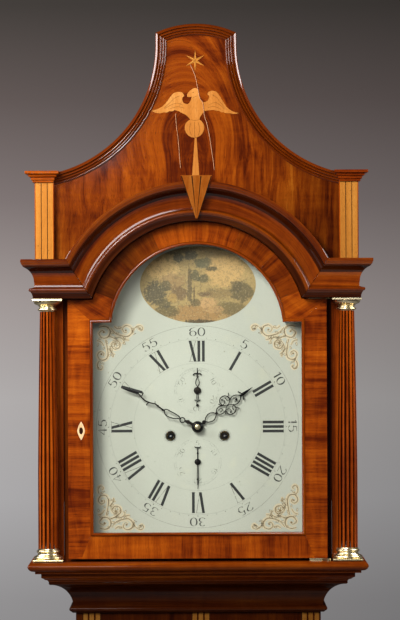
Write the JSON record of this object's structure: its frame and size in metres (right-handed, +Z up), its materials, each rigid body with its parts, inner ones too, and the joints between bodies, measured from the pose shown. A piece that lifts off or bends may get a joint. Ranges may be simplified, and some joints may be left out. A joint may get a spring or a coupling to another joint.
{
  "type": "tall-case clock",
  "caption": "Tall mahogany floor clock with an arched painted dial behind a glazed hood door, concave pagoda pediment, fluted columns, trunk door, weights and a seconds pendulum.",
  "frame": {"origin": "middle of the footprint, on the floor under the feet", "axes": "+Z up the clock, -Y out of the dial towards the viewer, +X to the viewer's right"},
  "size_m": [0.505, 0.274, 2.44],
  "materials": {
    "mahogany": "figured red-brown mahogany under a worn polished varnish",
    "satinwood": "pale inlay wood with dark stringing, polished",
    "oak": "unpolished secondary wood",
    "case_brass": "polished pale brass",
    "movement_brass": "satin brass",
    "door_glass": "clear flat glass",
    "painted_dial": "aged off-white oil paint with gilt and black decoration",
    "blued_steel": "blackened steel",
    "steel": "satin steel",
    "lead": "dull grey metal",
    "bell_metal": "turned bell bronze",
    "gut": "twisted gut"
  },
  "bodies": {
    "case": {"foot_front_left": "mahogany", "foot_front_right": "mahogany", "foot_rear_left": "mahogany", "foot_rear_right": "mahogany", "plinth_front": "mahogany", "plinth_side_left": "mahogany", "plinth_side_right": "mahogany", "plinth_moulding": "mahogany", "trunk_side_left": "mahogany", "trunk_side_right": "mahogany", "trunk_front_frame": "mahogany", "throat_moulding": "mahogany", "backboard": "oak", "seatboard": "oak", "dial_plate": "painted_dial", "movement_front_plate": "movement_brass", "movement_back_plate": "movement_brass", "bell": "bell_metal", "gut_line_time": "gut", "gut_line_strike": "gut"},
    "trunk_door": {"trunk_door": "mahogany"},
    "hood": {"hood_base_moulding": "mahogany", "hood_side_left": "mahogany", "hood_side_right": "mahogany", "dial_mask": "mahogany", "hood_roof_board": "oak", "tympanum": "mahogany", "pediment_moulding_left": "mahogany", "pediment_moulding_right": "mahogany", "crown_moulding": "mahogany", "pediment_pilaster_left": "satinwood", "pediment_pilaster_right": "satinwood", "pediment_cap_left": "mahogany", "pediment_cap_right": "mahogany", "cornice_left": "mahogany", "cornice_right": "mahogany", "cornice_arch": "mahogany", "keystone": "satinwood", "column_left": "mahogany", "column_right": "mahogany", "capital_left": "case_brass", "capital_right": "case_brass", "column_base_left": "case_brass", "column_base_right": "case_brass"},
    "hood_door": {"hood_door_frame": "mahogany", "hood_door_glass": "door_glass"},
    "escape_arbor": {"escape_wheel": "movement_brass", "seconds_hand": "blued_steel"},
    "centre_arbor": {"centre_wheel": "movement_brass", "minute_hand": "blued_steel"},
    "hour_pipe": {"hour_hand": "blued_steel"},
    "third_arbor": {"third_wheel": "movement_brass"},
    "calendar_arbor": {"calendar_hand": "blued_steel"},
    "time_barrel": {"barrel_time": "movement_brass"},
    "strike_barrel": {"barrel_strike": "movement_brass"},
    "pallet_arbor": {"pallet_anchor": "steel"},
    "pendulum": {"pendulum_rod": "steel", "pendulum_bob": "movement_brass"},
    "time_weight": {"weight_time": "lead"},
    "strike_weight": {"weight_strike": "lead"}
  },
  "joints": [
    {"name": "hood_slide", "type": "slide", "parent": "case", "child": "hood", "axis": [0, -1, 0], "range_m": [0, 0.3]},
    {"name": "hood_door_hinge", "type": "hinge", "parent": "hood", "child": "hood_door", "pos_m": [0.1875, -0.104, 1.9], "axis": [0, 0, 1], "range_deg": [0, 100]},
    {"name": "trunk_door_hinge", "type": "hinge", "parent": "case", "child": "trunk_door", "pos_m": [0.121, -0.0625, 1.075], "axis": [0, 0, 1], "range_deg": [0, 100]},
    {"name": "seconds_turn", "type": "hinge", "parent": "case", "child": "escape_arbor", "pos_m": [0, 0, 1.9124], "axis": [0, 1, 0], "continuous": true},
    {"name": "minute_turn", "type": "hinge", "parent": "case", "child": "centre_arbor", "pos_m": [0, 0, 1.86], "axis": [0, 1, 0], "continuous": true},
    {"name": "hour_turn", "type": "hinge", "parent": "case", "child": "hour_pipe", "pos_m": [0, 0, 1.86], "axis": [0, 1, 0], "continuous": true},
    {"name": "third_wheel_turn", "type": "hinge", "parent": "case", "child": "third_arbor", "pos_m": [-0.02, 0, 1.895], "axis": [0, 1, 0], "continuous": true},
    {"name": "time_barrel_turn", "type": "hinge", "parent": "case", "child": "time_barrel", "pos_m": [0.039, 0, 1.847], "axis": [0, 1, 0], "continuous": true},
    {"name": "strike_barrel_turn", "type": "hinge", "parent": "case", "child": "strike_barrel", "pos_m": [-0.039, 0, 1.847], "axis": [0, 1, 0], "continuous": true},
    {"name": "calendar_turn", "type": "hinge", "parent": "case", "child": "calendar_arbor", "pos_m": [0, 0, 1.8094], "axis": [0, 1, 0], "continuous": true},
    {"name": "pendulum_swing", "type": "hinge", "parent": "case", "child": "pendulum", "pos_m": [0, 0.075, 1.936], "axis": [0, 1, 0], "range_deg": [-2.5, 2.5]},
    {"name": "pallet_rock", "type": "hinge", "parent": "case", "child": "pallet_arbor", "pos_m": [0, 0, 1.936], "axis": [0, 1, 0], "range_deg": [-2.5, 2.5]},
    {"name": "time_weight_fall", "type": "slide", "parent": "case", "child": "time_weight", "axis": [0, 0, -1], "range_m": [0, 1.15], "deforming": ["gut_line_time"]},
    {"name": "strike_weight_fall", "type": "slide", "parent": "case", "child": "strike_weight", "axis": [0, 0, -1], "range_m": [0, 1.15], "deforming": ["gut_line_strike"]}
  ],
  "couplings": [
    {"joint": "minute_turn", "follows": "seconds_turn", "ratio": 0.016667},
    {"joint": "hour_turn", "follows": "seconds_turn", "ratio": 0.0013889},
    {"joint": "third_wheel_turn", "follows": "seconds_turn", "ratio": -0.125},
    {"joint": "time_barrel_turn", "follows": "seconds_turn", "ratio": -0.0013889},
    {"joint": "pallet_rock", "follows": "pendulum_swing", "ratio": 1}
  ]
}
